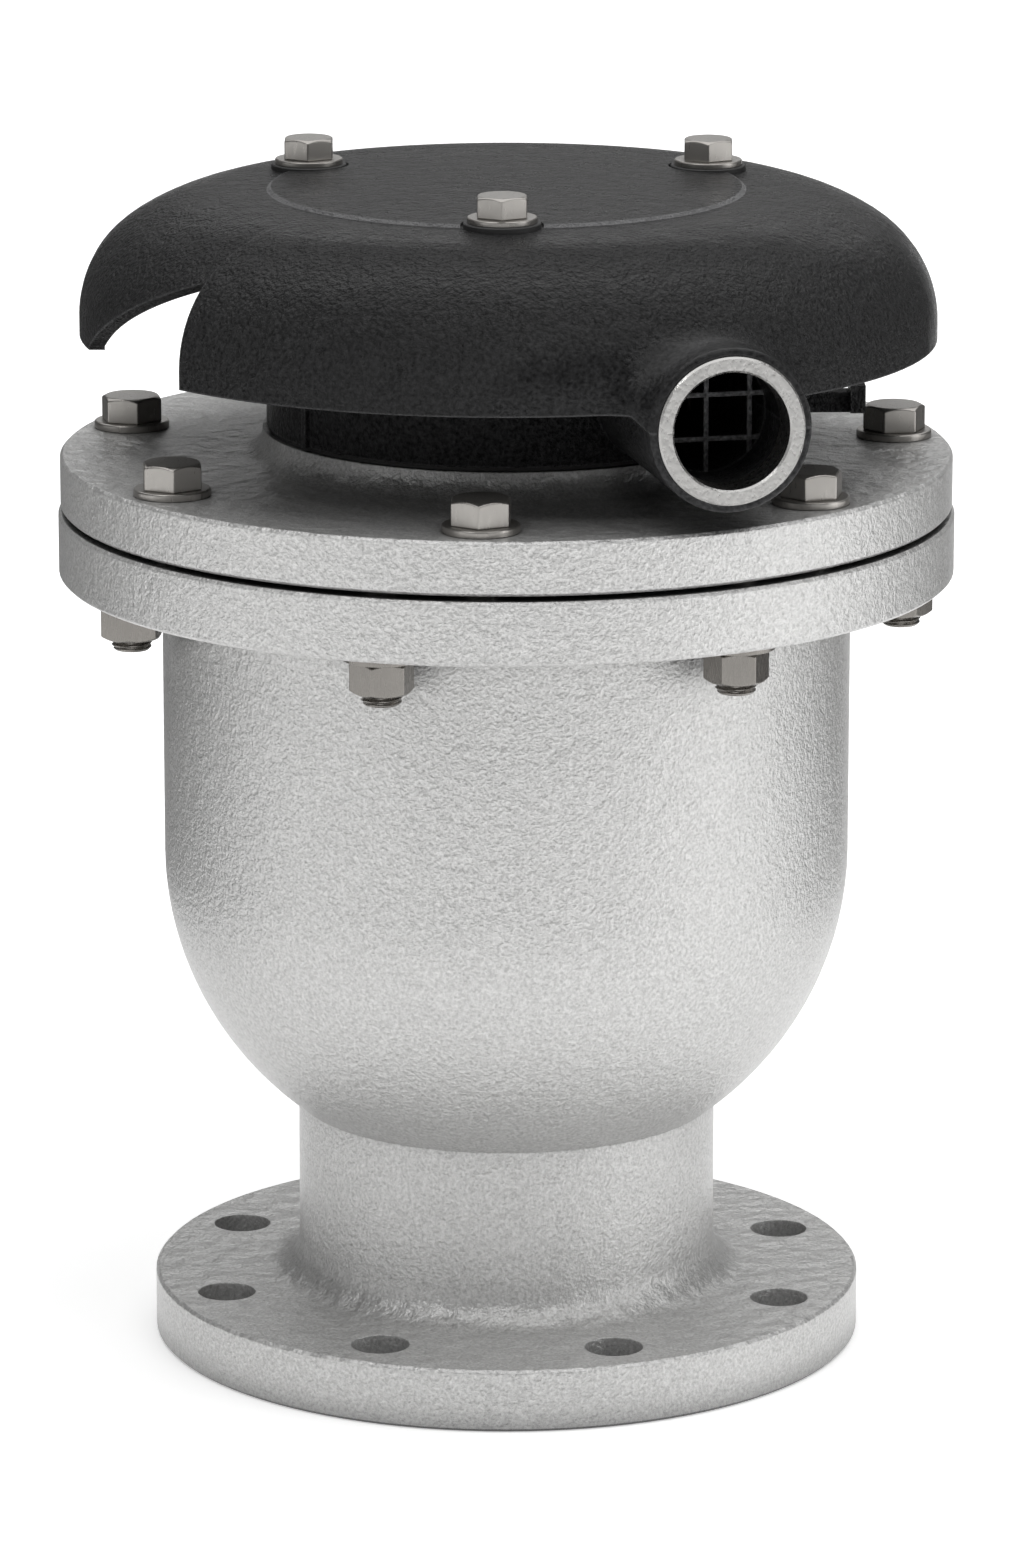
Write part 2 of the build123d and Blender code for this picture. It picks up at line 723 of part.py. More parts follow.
# Window through the scooped side
with BuildPart() as window:
    with BuildSketch(Plane.YZ) as window_outline:
        with BuildLine():
            far_y = window_back_y - hood_r
            far_z = window_corner_z + hood_r * tan(radians(window_slope))
            Polyline(
                (window_back_y, nozzle_low_z), (window_back_y, window_corner_z),
                (far_y, far_z), (far_y, nozzle_low_z), close=True,
            )
        make_face()
        corner = window_outline.vertices().filter_by(lambda v: abs(v.Z - window_corner_z) < 0.01)
        fillet(corner, window_corner_r)
    extrude(amount=-hood_d)
    add(side_sector(0), mode=Mode.INTERSECT)

# Inside of the hood, one wall in from the outside
with BuildPart() as hood_hollow:
    add(dome(hood_wall, nozzle_low_z))
    add(scoop_cut(hood_wall), mode=Mode.SUBTRACT)

# What is cut off below the skirt, short of the fairing's flanks beside the nozzle
with BuildPart() as skirt_cut:
    add(ring(hood_d, 0, nozzle_low_z, skirt_z))
    with BuildSketch(nozzle_plane(base_r)):
        with BuildLine():
            flank_h = skirt_z - nozzle_z
            Polyline(
                (nozzle_r, 0), (nozzle_r + flank_h, flank_h),
                (-nozzle_r - flank_h, flank_h), (-nozzle_r, 0), close=True,
            )
        make_face()
    extrude(amount=nozzle_reach, mode=Mode.SUBTRACT)

# Stiffening ribs under the hood's roof, from the bolt bosses to the shoulder
with BuildPart() as hood_ribs:
    with BuildSketch(Plane.XY.offset(hood_rib_low_z)):
        with PolarLocations((hood_bolt_r + hood_r) / 2, hood_bolts, hood_bolt_turn):
            Rectangle(hood_r - hood_bolt_r, hood_rib_w)
    extrude(amount=hood_top_z - hood_rib_low_z)
    add(dome(hood_wall / 2, nozzle_low_z), mode=Mode.INTERSECT)

# Hood moulding: domed shell with a scooped, open side and the upper half of the nozzle
with BuildPart() as hood_cover:
    add(dome(0, nozzle_low_z))
    with BuildSketch(nozzle_plane(crease_r)):
        Circle(nozzle_r)
    extrude(amount=nozzle_reach + nozzle_r - crease_r)
    fillet(hood_cover.edges().filter_by(GeomType.BSPLINE), nozzle_fairing)
    with BuildSketch(nozzle_plane(nozzle_reach)):
        Rectangle(4 * nozzle_d, 4 * nozzle_d)
    extrude(amount=nozzle_d, mode=Mode.SUBTRACT)
    lip = hood_cover.faces().filter_by(GeomType.PLANE).sort_by(lambda f: abs(f.normal_at().Z))[0]
    fillet(lip.edges(), nozzle_lip)
    add(scoop_cut(0), mode=Mode.SUBTRACT)
    add(hood_hollow.part, mode=Mode.SUBTRACT)
    add(skirt_cut.part, mode=Mode.SUBTRACT)
    split(bisect_by=Plane.XY.offset(nozzle_z), keep=Keep.TOP)
    add(window.part, mode=Mode.SUBTRACT)
    add(hood_ribs.part)
    with PolarLocations(hood_bolt_r, hood_bolts, hood_bolt_turn):
        with Locations((0, 0, hood_base_gap_z)):
            Cylinder(
                post_d / 2, roof_z - hood_base_gap_z + hood_wall / 2,
                align=(Align.CENTER, Align.CENTER, Align.MIN),
            )
        with Locations((0, 0, crown_z)):
            CounterBoreHole(
                m12_hole_d / 2, rubber_washer_d / 2 + spot_clear, crown_z - hood_top_z,
                crown_z - hood_base_gap_z,
            )
    add(nozzle_half(Keep.TOP, base_r + rest_gap))
    add(nozzle_passage(), mode=Mode.SUBTRACT)

# Threaded metal ring in the nozzle's end and the grille inside it
with BuildPart() as nozzle_ring:
    with BuildSketch(nozzle_plane(nozzle_reach + nozzle_ring_proud)):
        Circle(nozzle_ring_r)
        Circle(nozzle_bore_r, mode=Mode.SUBTRACT)
    extrude(amount=-nozzle_ring_l)
    face = nozzle_ring.faces().filter_by(GeomType.PLANE).sort_by(lambda f: f.center().length)[-1]
    chamfer(face.edges(), nozzle_ring_proud / 2)

with BuildPart() as nozzle_grille:
    with BuildSketch(nozzle_plane(nozzle_reach - grille_depth)):
        with GridLocations(grille_pitch, 0, 3, 1):
            Rectangle(grille_bar, 2 * passage_r + grille_rim)
        with Locations((0, -grille_drop)):
            with GridLocations(0, grille_pitch, 1, 2):
                Rectangle(2 * passage_r + grille_rim, grille_bar)
        Circle(passage_r + grille_rim / 2, mode=Mode.INTERSECT)
        with BuildSketch(mode=Mode.PRIVATE) as rim:
            Circle(passage_r + grille_rim)
            Circle(passage_r, mode=Mode.SUBTRACT)
        add(rim.sketch)
    extrude(amount=-grille_t)

# Hood bolts with rubber and steel washers
with BuildPart() as rubber_washers:
    with PolarLocations(hood_bolt_r, hood_bolts, hood_bolt_turn):
        with Locations((0, 0, hood_top_z)):
            add(washer(rubber_washer_d, m12_hole_d, rubber_washer_t))

with BuildPart() as hood_washers:
    with PolarLocations(hood_bolt_r, hood_bolts, hood_bolt_turn):
        with Locations((0, 0, hood_top_z + rubber_washer_t)):
            add(washer(m12_washer_d, m12_hole_d, m12_washer_t))

with BuildPart() as hood_bolt_set:
    with PolarLocations(hood_bolt_r, hood_bolts, hood_bolt_turn):
        with Locations((0, 0, hood_top_z + rubber_washer_t + m12_washer_t)):
            grip = rubber_washer_t + m12_washer_t + hood_top_z - base_top_z + m12_grip
            add(hex_bolt(m12_d, m12_hex, m12_head_h, grip))

# Cap screws that pull the cover down onto the body
with BuildPart() as cover_washers:
    with PolarLocations(joint_r, joint_count, screw_turn):
        with Locations((0, 0, flange_top_z)):
            add(washer(m16_washer_d, m16_hole_d, m16_washer_t))

with BuildPart() as cover_screws:
    with PolarLocations(joint_r, joint_count, screw_turn):
        with Locations((0, 0, flange_top_z + m16_washer_t)):
            grip = m16_washer_t + cover_flange_t + cover_gasket_t + screw_grip
            add(hex_bolt(m16_d, m16_hex, m16_head_h, grip))

# Studs in the cover with nuts under the body flange
stud_nut_z = joint_z - body_flange_t - m16_washer_t - m16_nut_h
with BuildPart() as cover_studs:
    with PolarLocations(joint_r, joint_count, stud_turn):
        with Locations((0, 0, cover_z + stud_grip)):
            add(rod(m16_d, cover_z + stud_grip - stud_nut_z + stud_tail, m16_d * tip_share))

with BuildPart() as stud_washers:
    with PolarLocations(joint_r, joint_count, stud_turn):
        with Locations((0, 0, stud_nut_z + m16_nut_h)):
            add(washer(m16_washer_d, m16_hole_d, m16_washer_t))

with BuildPart() as stud_nuts:
    with PolarLocations(joint_r, joint_count, stud_turn):
        with Locations((0, 0, stud_nut_z)):
            add(hex_nut(m16_d, m16_hex, m16_nut_h))

# Named pieces, one file each
pieces = {
    "body": body,
    "cover_gasket": cover_gasket,
    "cover": cover,
    "orifice_seat": orifice_seat,
    "orifice_seal": orifice_seal,
    "seal_clamp_ring": seal_clamp_ring,
    "clamp_screws": clamp_screw_set,
    "float_upper_shell": float_upper_shell,
    "float_lower_shell": float_lower_shell,
    "float_stem": float_stem,
    "stem_washers": stem_washers,
    "stem_nuts": stem_nuts,
    "lower_guide": lower_guide,
    "lower_bush": lower_bush,
    "guide_snap_ring": guide_snap_ring,
    "upper_guide": upper_guide,
    "upper_bush": upper_bush,
    "screen": screen,
    "foot_gasket": foot_gasket,
    "hood_base": hood_base,
    "base_screws": base_screw_set,
    "post_inserts": post_inserts,
    "hood_cover": hood_cover,
    "nozzle_ring": nozzle_ring,
    "nozzle_grille": nozzle_grille,
    "rubber_washers": rubber_washers,
    "hood_washers": hood_washers,
    "hood_bolts": hood_bolt_set,
    "cover_washers": cover_washers,
    "cover_screws": cover_screws,
    "cover_studs": cover_studs,
    "stud_washers": stud_washers,
    "stud_nuts": stud_nuts,
}
os.makedirs("parts", exist_ok=True)
for name, piece in pieces.items():
    piece.part.label = name
    export_step(piece.part, f"parts/{name}.step")
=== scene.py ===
"""Kinetic air valve: finishes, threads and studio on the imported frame. Metres, +Z up, front -Y."""
import json
from math import cos, pi, radians, sin, tau

import bmesh
import bpy
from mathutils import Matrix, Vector

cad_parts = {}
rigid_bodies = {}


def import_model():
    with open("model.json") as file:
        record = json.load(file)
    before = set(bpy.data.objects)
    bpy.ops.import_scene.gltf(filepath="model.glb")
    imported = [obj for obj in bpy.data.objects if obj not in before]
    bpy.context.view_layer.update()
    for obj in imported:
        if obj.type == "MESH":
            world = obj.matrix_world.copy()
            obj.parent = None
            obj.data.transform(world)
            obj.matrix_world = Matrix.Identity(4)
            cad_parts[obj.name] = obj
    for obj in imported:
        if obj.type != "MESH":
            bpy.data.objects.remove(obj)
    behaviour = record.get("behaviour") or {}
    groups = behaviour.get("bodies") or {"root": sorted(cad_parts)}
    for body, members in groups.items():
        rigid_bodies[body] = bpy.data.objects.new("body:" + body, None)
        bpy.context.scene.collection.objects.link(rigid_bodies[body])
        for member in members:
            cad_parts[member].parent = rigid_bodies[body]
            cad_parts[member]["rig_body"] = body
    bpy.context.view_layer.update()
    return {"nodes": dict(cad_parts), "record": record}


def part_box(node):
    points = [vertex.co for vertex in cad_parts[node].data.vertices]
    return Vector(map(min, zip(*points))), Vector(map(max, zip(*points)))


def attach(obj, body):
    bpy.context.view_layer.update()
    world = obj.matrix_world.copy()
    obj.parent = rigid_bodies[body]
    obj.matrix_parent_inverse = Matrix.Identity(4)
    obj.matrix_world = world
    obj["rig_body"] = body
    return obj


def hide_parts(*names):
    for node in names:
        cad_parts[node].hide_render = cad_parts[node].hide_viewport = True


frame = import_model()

scene = bpy.context.scene
MM = 0.001

# Light: the point the lights aim at, and how far behind and above it the ceiling light hangs
light_target = Vector((0, 0, 0.24))
ceiling_back = 1.2
ceiling_height = 3.4
world_light = 0.20

# Floor that glows to stay evenly pale, glowing less near the valve as a painted shadow round it
floor_grey = (0.9, 0.9, 0.9)
floor_roughness = 0.9
floor_size = 40
floor_drop = 0.2 * MM
floor_near = 0.18
floor_far = 0.70
floor_glow_near = 0.40
floor_glow_far = 0.50

# Flags
flag_grey = (0.12, 0.12, 0.12)
flag_roughness = 0.9

# Camera, fitted to the ellipses of the two flanges
camera_pos = Vector((0.24, -2880.5, 946.7)) * MM
camera_pitch = radians(14.005)
camera_lens = 171.9
camera_sensor = 36
camera_reach = 100

# Most of the noise lies in this range
noise_low = 0.3
noise_high = 0.7

# Cast paint
# the hammered paint's speckle runs between these two: partly its own tone, widened as painted glints
paint_dark = (0.432, 0.43, 0.425)
paint_light = (0.693, 0.69, 0.682)
paint_metallic = 0.52
paint_rough_low = 0.28
paint_rough_high = 0.38
paint_grain = 1.3 * MM
paint_relief = 0.55 * MM
paint_lump = 3.8 * MM
paint_lump_relief = 0.7 * MM
paint_lump_strength = 0.8

# Waves of the casting, slight on faces whose normal rises by upright_z or less and full from upward_z
cast_wave = 9 * MM
cast_wave_relief = 2.2 * MM
upright_wave = 0.1
upright_z = 0.1
upward_z = 0.8

# Painted shade in holes and gaps, from ambient occlusion: fully dark up to the lower open share below and
# without painted shade from the higher one
shade_reach = 20 * MM
painted_shade_colour = (0.10, 0.10, 0.10)
shade_full_to = 0.3
shade_free_from = 0.85
shade_samples = 6

# Moulded plastic
# the grain's colour runs between these two: partly the plastic's own tone, partly pale specks as painted
# glints
plastic_dark = (0.001, 0.001, 0.0011)
plastic_light = (0.024, 0.024, 0.0247)
plastic_shine = 0.18
plastic_cloud = 14 * MM
plastic_rough_range = 0.05
leather_grain = 1.7 * MM
leather_relief = 2.2 * MM
leather_folds = 7 * MM

# Painted highlight along hard edges: the cosine between a face and its rounded normal where the painted
# highlight starts and where it is full
painted_highlight_colour = (0.16, 0.16, 0.163)
highlight_start = 0.985
highlight_full = 0.93
highlight_most = 0.4

# Painted highlight on the crease round the top of the hood: radius, half its width, and the height from
# which it shows
crease_r = 93.4 * MM
crease_half = 0.8 * MM
crease_low = 465 * MM

# Smooth end of the nozzle, measured along the nozzle from the valve's axis
nozzle_turn = radians(13)
collar_from = 160 * MM
collar_to = 168 * MM
collar_grain = 0.2

# Metals
scratch_size = 0.8 * MM
fine_scratch = 0.002 * MM
ring_scratch = 0.22 * MM
metal_cloud = 9 * MM
metal_cloud_shade = 0.93
metal_smoother = 0.03
metal_rougher = 0.05

# Rubber
rubber_colour = (0.018, 0.018, 0.018)
rubber_grain = 0.8 * MM
rubber_relief = 0.05 * MM
rubber_rough_low = 0.52
rubber_rough_high = 0.68

# Edges: bevels in the meshes of the small pieces, and the radius of rounded normals in the materials
edge_width = 0.45 * MM
edge_segments = 2
hard_angle = radians(35)
flat_angle = radians(1)
weld_distance = 0.01 * MM
soft_samples = 6
paint_edge = 1.0 * MM
plastic_edge = 1.4 * MM

# Stud threads, on studs as long as the frame's own
stud_circle = 157 * MM
stud_turn = radians(-107.5)
stud_count = 7
stud_r = 8 * MM
stud_low, stud_high = (corner.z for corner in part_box("cover_studs"))
stud_tip = 1.4 * MM
thread_high = 316 * MM
thread_pitch = 2 * MM
thread_depth = 1.1 * MM
thread_sides = 36
thread_steps = 6


# Shader nodes
def fill(tree, target, inputs):
    """set a node's inputs, each to a value or by a link from a socket"""
    for key, value in inputs.items():
        if isinstance(value, bpy.types.NodeSocket):
            tree.links.new(value, target.inputs[key])
        else:
            target.inputs[key].default_value = value


def node(tree, kind, inputs, **settings):
    """a shader node with its settings and its inputs"""
    made = tree.nodes.new(kind)
    for key, value in settings.items():
        setattr(made, key, value)
    fill(tree, made, inputs)
    return made


def material(name, sockets):
    """a material with its tree, its shader and object coordinates in metres"""
    made = bpy.data.materials.new(name)
    made.use_nodes = True
    tree = made.node_tree
    shader = tree.nodes["Principled BSDF"]
    fill(tree, shader, sockets)
    place = tree.nodes.new("ShaderNodeTexCoord").outputs["Object"]
    return made, tree, shader, place


def noise(tree, place, size, detail=2.0, rough=0.5):
    """noise whose lumps are about size across"""
    return node(tree, "ShaderNodeTexNoise", {
        "Vector": place, "Scale": 1 / size, "Detail": detail, "Roughness": rough,
    }).outputs["Fac"]


def remap(tree, value, start, end, low, high):
    """a value that goes from low to high while the input goes from start to end"""
    return node(tree, "ShaderNodeMapRange", {
        "Value": value, "From Min": start, "From Max": end, "To Min": low, "To Max": high,
    }).outputs["Result"]


def spread(tree, value, low, high):
    """noise mapped to a range"""
    return remap(tree, value, noise_low, noise_high, low, high)


def maths(tree, operation, *values):
    """an operation on numbers"""
    return node(tree, "ShaderNodeMath", dict(enumerate(values)), operation=operation).outputs["Value"]


def vector_maths(tree, operation, output, *values):
    """an operation on vectors"""
    return node(tree, "ShaderNodeVectorMath", dict(enumerate(values)), operation=operation).outputs[output]


def opaque(colour):
    """a colour with its fourth number, or a socket as it is"""
    return colour if isinstance(colour, bpy.types.NodeSocket) else (*colour, 1)


def blend_colours(tree, factor, low, high):
    """two colours mixed by a factor"""
    return node(tree, "ShaderNodeMix", {
        "Factor": factor, "A": opaque(low), "B": opaque(high),
    }, data_type="RGBA").outputs["Result"]


def face_normal(tree):
    """the normal of the face"""
    return tree.nodes.new("ShaderNodeNewGeometry").outputs["Normal"]


def height_of(tree, vector):
    """the Z of a place or a direction"""
    return node(tree, "ShaderNodeSeparateXYZ", {"Vector": vector}).outputs["Z"]


def soft_edges(tree, radius):
    """normals rounded over the hard edges"""
    return node(tree, "ShaderNodeBevel", {"Radius": radius}, samples=soft_samples).outputs["Normal"]


def bump(tree, height, depth, strength=1.0, normal=None):
    """relief of a depth in metres"""
    inputs = {"Height": height, "Distance": depth, "Strength": strength}
    if normal:
        inputs["Normal"] = normal
    return node(tree, "ShaderNodeBump", inputs).outputs["Normal"]


# Materials
def unshaded_share(tree):
    """mask of the painted shade, from ambient occlusion: zero deep in holes and gaps, one on open faces"""
    occlusion = node(tree, "ShaderNodeAmbientOcclusion", {"Distance": shade_reach}, samples=shade_samples)
    return remap(tree, occlusion.outputs["AO"], shade_full_to, shade_free_from, 0, 1)


def cast_paint(name):
    """silver hammered paint over a slightly wavy casting, with painted shade in holes and gaps"""
    made, tree, shader, place = material(name, {"Metallic": paint_metallic})
    fine = noise(tree, place, paint_grain, detail=2.5, rough=0.6)
    lumps = noise(tree, place, paint_lump)
    wave = noise(tree, place, cast_wave, detail=1.5)
    # speckle colour, partly painted glints
    silver = blend_colours(tree, spread(tree, fine, 0, 1), paint_dark, paint_light)
    waviness = remap(tree, height_of(tree, face_normal(tree)), upright_z, upward_z, upright_wave, 1)
    wavy = bump(tree, wave, cast_wave_relief, waviness, soft_edges(tree, paint_edge))
    lumpy = bump(tree, lumps, paint_lump_relief, paint_lump_strength, wavy)
    fill(tree, shader, {
        # painted shade: the base colour darkens to dark grey in holes and gaps
        "Base Color": blend_colours(tree, unshaded_share(tree), painted_shade_colour, silver),
        "Roughness": spread(tree, fine, paint_rough_low, paint_rough_high),
        "Normal": bump(tree, fine, paint_relief, normal=lumpy),
    })
    return made


def edge_highlight_share(tree, rounded):
    """share of painted highlight: zero on the faces, the highest share along the hard edges"""
    along = vector_maths(tree, "DOT_PRODUCT", "Value", rounded, face_normal(tree))
    return remap(tree, along, highlight_start, highlight_full, 0, highlight_most)


def crease_highlight_share(tree, place):
    """painted highlight on the crease round the top of the hood: one on the crease, zero elsewhere"""
    level = vector_maths(tree, "MULTIPLY", "Vector", place, (1, 1, 0))
    radius = vector_maths(tree, "LENGTH", "Value", level)
    on_ring = maths(tree, "COMPARE", radius, crease_r, crease_half)
    high = maths(tree, "GREATER_THAN", height_of(tree, place), crease_low)
    return maths(tree, "MULTIPLY", on_ring, high)


def grain_share(tree, place):
    """one on the hood, falling to collar_grain at the smooth end of the nozzle"""
    nozzle_axis = (sin(nozzle_turn), -cos(nozzle_turn), 0)
    along = vector_maths(tree, "DOT_PRODUCT", "Value", place, nozzle_axis)
    return remap(tree, along, collar_from, collar_to, 1, collar_grain)


def moulded_plastic(name, relief, roughness, painted_light_gain=1, shine=plastic_shine):
    """charcoal plastic with a leathery grain whose pale specks are partly painted glints, with a painted
    highlight along its edges and on the crease
    """
    made, tree, shader, place = material(name, {"Specular IOR Level": shine})
    grain = noise(tree, place, leather_grain, detail=3.0, rough=0.6)
    folds = noise(tree, place, leather_folds)
    cloud = noise(tree, place, plastic_cloud, detail=3.0)
    # painted light: both colours raised by the gain
    dark = tuple(value * painted_light_gain for value in plastic_dark)
    light = tuple(value * painted_light_gain for value in plastic_light)
    # grain colour, partly painted glints
    charcoal = blend_colours(tree, spread(tree, grain, 0, 1), dark, light)
    rounded = soft_edges(tree, plastic_edge)
    # painted highlight: paler colour along the hard edges and on the crease
    highlight_mask = maths(tree, "MAXIMUM", crease_highlight_share(tree, place), edge_highlight_share(tree, rounded))
    grained = grain_share(tree, place)
    folded = bump(tree, folds, relief, grained, rounded)
    fill(tree, shader, {
        "Base Color": blend_colours(tree, highlight_mask, charcoal, painted_highlight_colour),
        "Roughness": spread(tree, cloud, roughness - plastic_rough_range, roughness + plastic_rough_range),
        "Normal": bump(tree, grain, relief, grained, folded),
    })
    return made


def steel(name, colour, roughness, grain, scratch_depth=fine_scratch, metallic=1.0):
    """drawn or turned metal whose scratches run long where the grain's factor for an axis is small"""
    made, tree, shader, place = material(name, {"Metallic": metallic})
    stretched = node(tree, "ShaderNodeMapping", {"Vector": place, "Scale": grain}).outputs["Vector"]
    scratch = noise(tree, stretched, scratch_size)
    cloud = noise(tree, place, metal_cloud)
    darker = tuple(value * metal_cloud_shade for value in colour)
    fill(tree, shader, {
        "Base Color": blend_colours(tree, spread(tree, cloud, 0, 1), darker, colour),
        "Roughness": spread(tree, scratch, roughness - metal_smoother, roughness + metal_rougher),
        "Normal": bump(tree, scratch, scratch_depth),
    })
    return made


def rubber(name):
    """dull black rubber"""
    made, tree, shader, place = material(name, {"Base Color": opaque(rubber_colour)})
    fine = noise(tree, place, rubber_grain)
    fill(tree, shader, {
        "Roughness": spread(tree, fine, rubber_rough_low, rubber_rough_high),
        "Normal": bump(tree, fine, rubber_relief),
    })
    return made


def plain_floor(name):
    """pale studio floor that glows, less near the valve as a painted shadow"""
    made, tree, shader, place = material(name, {
        "Base Color": opaque(floor_grey),
        "Roughness": floor_roughness,
        "Specular IOR Level": 0,
        "Emission Color": (1, 1, 1, 1),
    })
    distance = vector_maths(tree, "LENGTH", "Value", place)
    # painted shadow: the floor glows less within the near distance of the valve
    glow = remap(tree, distance, floor_near, floor_far, floor_glow_near, floor_glow_far)
    fill(tree, shader, {"Emission Strength": glow})
    return made


paint = cast_paint("cast_paint")
plastic = moulded_plastic("black_plastic", relief=leather_relief, roughness=0.30)
# base ring under the hood: the black plastic at twice the colour, painted light where little light reaches
base_plastic = moulded_plastic("base_plastic", relief=leather_relief, roughness=0.34, painted_light_gain=2, shine=0.14)
# grille inside the nozzle: the black plastic at eight times the colour, painted light where little light
# reaches
grille_plastic = moulded_plastic("grille_plastic", relief=0.2 * leather_relief, roughness=0.4, painted_light_gain=8)
stainless = steel(
    "stainless", colour=(0.36, 0.345, 0.325), roughness=0.30, grain=(1, 1, 0.12), metallic=0.88,
)
# darker copy of the stainless for the nuts, washers and stud ends under the flange: painted shade
shaded_stainless = steel(
    "shaded_stainless", colour=(0.24, 0.228, 0.212), roughness=0.27, grain=(1, 1, 0.12), metallic=0.95,
)
bright_ring = steel(
    "bright_ring", colour=(0.42, 0.415, 0.405), roughness=0.28, grain=(0.5, 0.5, 0.35),
    scratch_depth=ring_scratch,
)
float_steel = steel("float_steel", colour=(0.66, 0.65, 0.63), roughness=0.22, grain=(1, 1, 0.3))
brass = steel("turned_brass", colour=(0.72, 0.52, 0.24), roughness=0.28, grain=(0.3, 0.3, 2))
black_rubber = rubber("black_rubber")

finishes = {
    "cast_paint": paint,
    "black_plastic": plastic,
    "stainless": stainless,
    "bright_ring": bright_ring,
    "rubber": black_rubber,
    "brass": brass,
}
own_finish = {
    "float_upper_shell": float_steel,
    "float_lower_shell": float_steel,
    "nozzle_grille": grille_plastic,
    "hood_base": base_plastic,
    "stud_nuts": shaded_stainless,
    "stud_washers": shaded_stainless,
}
for part in frame["record"]["subparts"]:
    name = part["node"]
    mesh = frame["nodes"][name].data
    mesh.materials.clear()
    mesh.materials.append(own_finish.get(name, finishes[part["material_slot"]]))


# Screws, nuts and washers
def bevelled(name):
    """the node's own mesh with its hard edges rounded, standing for the node"""
    source = frame["nodes"][name]
    made = bpy.data.objects.new(f"{name}_finished", source.data.copy())
    scene.collection.objects.link(made)
    mesh = bmesh.new()
    mesh.from_mesh(made.data)
    bmesh.ops.remove_doubles(mesh, verts=mesh.verts, dist=weld_distance)
    bmesh.ops.dissolve_limit(mesh, angle_limit=flat_angle, verts=mesh.verts, edges=mesh.edges)
    mesh.to_mesh(made.data)
    mesh.free()
    rounding = made.modifiers.new("edges", "BEVEL")
    rounding.width = edge_width
    rounding.segments = edge_segments
    rounding.limit_method = "ANGLE"
    rounding.angle_limit = hard_angle
    made.data.shade_smooth()
    by_face = made.modifiers.new("normals", "WEIGHTED_NORMAL")
    by_face.keep_sharp = False
    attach(made, source["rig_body"])
    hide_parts(name)


for name in ("cover_screws", "cover_washers", "stud_nuts", "stud_washers", "hood_bolts", "hood_washers"):
    bevelled(name)


# Studs
def thread_radius(height, turn):
    """radius of the thread at a height and a share of a turn, with the tip chamfered"""
    phase = ((height - stud_low) / thread_pitch - turn) % 1
    crest = 1 - abs(2 * phase - 1)
    tip = max(0, stud_tip - (height - stud_low))
    return min(stud_r - thread_depth * (1 - crest), stud_r - tip)


def stud_rows():
    """heights and radii round one stud, row by row: the thread, then the plain shank"""
    rows = []
    for step in range(int((thread_high - stud_low) / thread_pitch * thread_steps) + 1):
        height = stud_low + step * thread_pitch / thread_steps
        rows.append([(height, thread_radius(height, side / thread_sides)) for side in range(thread_sides)])
    for height in (thread_high, stud_high):
        rows.append([(height, stud_r)] * thread_sides)
    return rows


def stud_faces(first, row_count):
    """faces of one stud whose points start at first: its sides, then its two ends"""
    faces = []
    top = first + (row_count - 1) * thread_sides
    for low in range(first, top, thread_sides):
        for side in range(thread_sides):
            after = (side + 1) % thread_sides
            faces.append((low + side, low + after, low + thread_sides + after, low + thread_sides + side))
    faces.append(tuple(first + side for side in reversed(range(thread_sides))))
    faces.append(tuple(top + side for side in range(thread_sides)))
    return faces


def threaded_studs():
    """the seven studs with a helical thread on the end that shows under the nuts"""
    verts = []
    faces = []
    rows = stud_rows()
    for stud in range(stud_count):
        turn = stud_turn + tau * stud / stud_count
        axis = Vector((stud_circle * cos(turn), stud_circle * sin(turn), 0))
        faces += stud_faces(len(verts), len(rows))
        for row in rows:
            for side, (height, radius) in enumerate(row):
                angle = tau * side / thread_sides
                verts.append(axis + Vector((radius * cos(angle), radius * sin(angle), height)))
    mesh = bpy.data.meshes.new("threaded_studs")
    mesh.from_pydata(verts, [], faces)
    mesh.materials.append(shaded_stainless)
    made = bpy.data.objects.new("threaded_studs", mesh)
    scene.collection.objects.link(made)
    source = frame["nodes"]["cover_studs"]
    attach(made, source["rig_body"])
    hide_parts("cover_studs")


threaded_studs()


# Studio: a wide ceiling light, two side lights, two small front lights, a low back light and three flags
def round_axis(azimuth, distance, height):
    """a point beside the valve's axis, with azimuth 0 in front and a quarter turn to the right"""
    return Vector((distance * sin(azimuth), -distance * cos(azimuth), height))


def softbox(name, size, power):
    """rectangular light that shines straight down"""
    light = bpy.data.lights.new(name, "AREA")
    light.shape = "RECTANGLE"
    light.size, light.size_y = size
    light.energy = power
    made = bpy.data.objects.new(name, light)
    scene.collection.objects.link(made)
    return made


def aimed_softbox(name, azimuth, elevation, distance, size, power):
    """softbox aimed at the middle of the valve, with its angles in degrees"""
    made = softbox(name, size, power)
    rise = radians(elevation)
    made.location = light_target + round_axis(radians(azimuth), distance * cos(rise), distance * sin(rise))
    made.rotation_euler = (light_target - made.location).to_track_quat("-Z", "Y").to_euler()


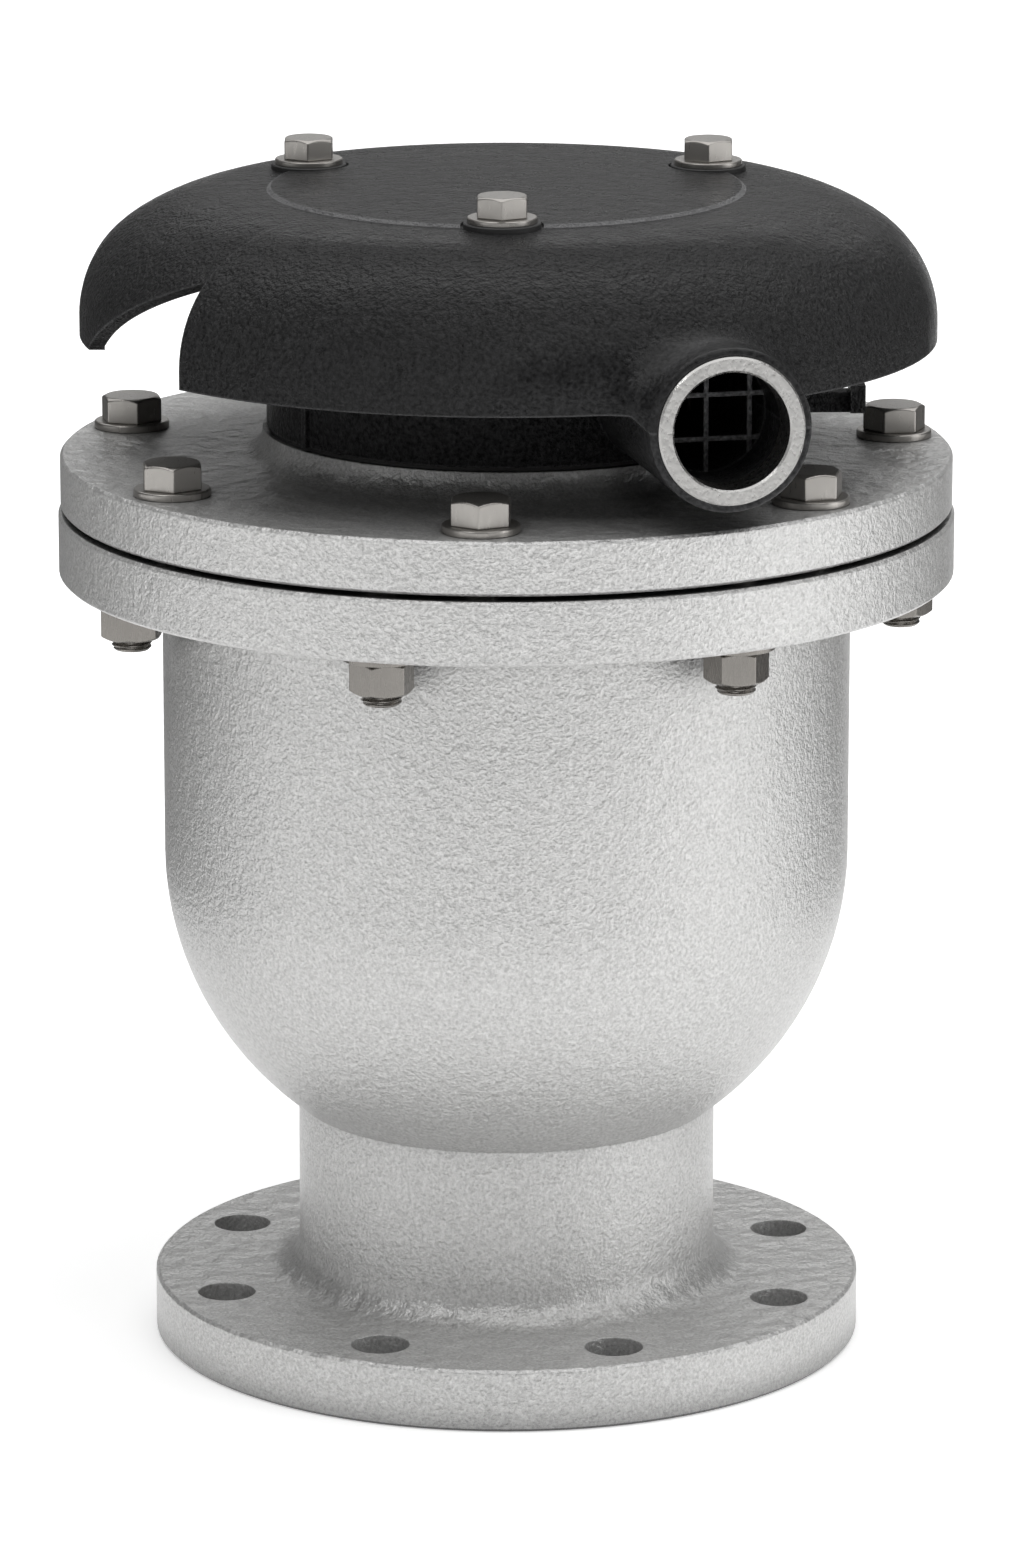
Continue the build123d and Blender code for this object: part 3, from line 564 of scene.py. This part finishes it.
aimed_softbox("right_light", azimuth=72, elevation=12, distance=2.6, size=(1.3, 2.2), power=18)
aimed_softbox("left_light", azimuth=-60, elevation=14, distance=2.8, size=(1.2, 2.2), power=5)
aimed_softbox("key_light", azimuth=-36, elevation=46, distance=2.6, size=(0.5, 0.4), power=4)
aimed_softbox("second_key_light", azimuth=34, elevation=50, distance=2.6, size=(0.5, 0.4), power=2.4)
ceiling = softbox("ceiling_light", size=(6, 8), power=218)
ceiling.location = light_target + Vector((0, ceiling_back, ceiling_height))
aimed_softbox("back_light", azimuth=180, elevation=15, distance=4.9, size=(4.5, 0.5), power=7)

flag_cloth = material("flag_cloth", {"Base Color": opaque(flag_grey), "Roughness": flag_roughness})[0]


def flag(name, azimuth, distance, width, low, high):
    """grey panel that shades a side of the valve and that no camera sees, with its azimuth in degrees"""
    bpy.ops.mesh.primitive_plane_add(size=1)
    made = bpy.context.object
    made.name = name
    made.scale = (width, high - low, 1)
    made.rotation_euler = (pi / 2, 0, radians(azimuth))
    made.location = round_axis(radians(azimuth), distance, (low + high) / 2)
    made.data.materials.append(flag_cloth)
    made.visible_camera = False


flag("left_flag", azimuth=-128, distance=0.62, width=0.75, low=0, high=0.7)
flag("right_flag", azimuth=128, distance=0.70, width=0.6, low=0, high=0.7)
flag("high_left_flag", azimuth=-95, distance=0.75, width=1.1, low=0.5, high=1.3)

world = bpy.data.worlds.new("studio")
scene.world = world
world.use_nodes = True
background = world.node_tree.nodes["Background"]
fill(world.node_tree, background, {"Color": (1, 1, 1, 1), "Strength": world_light})

bpy.ops.mesh.primitive_plane_add(size=floor_size, location=(0, 0, -floor_drop))
floor = bpy.context.object
floor.name = "floor"
floor.data.materials.append(plain_floor("floor_white"))

# Camera
camera = bpy.data.objects.new("camera", bpy.data.cameras.new("camera"))
scene.collection.objects.link(camera)
camera.data.lens = camera_lens
camera.data.sensor_fit = "AUTO"
camera.data.sensor_width = camera_sensor
camera.data.clip_end = camera_reach
camera.location = camera_pos
camera.rotation_euler = (pi / 2 - camera_pitch, 0, 0)
scene.camera = camera

scene.view_settings.view_transform = "Standard"
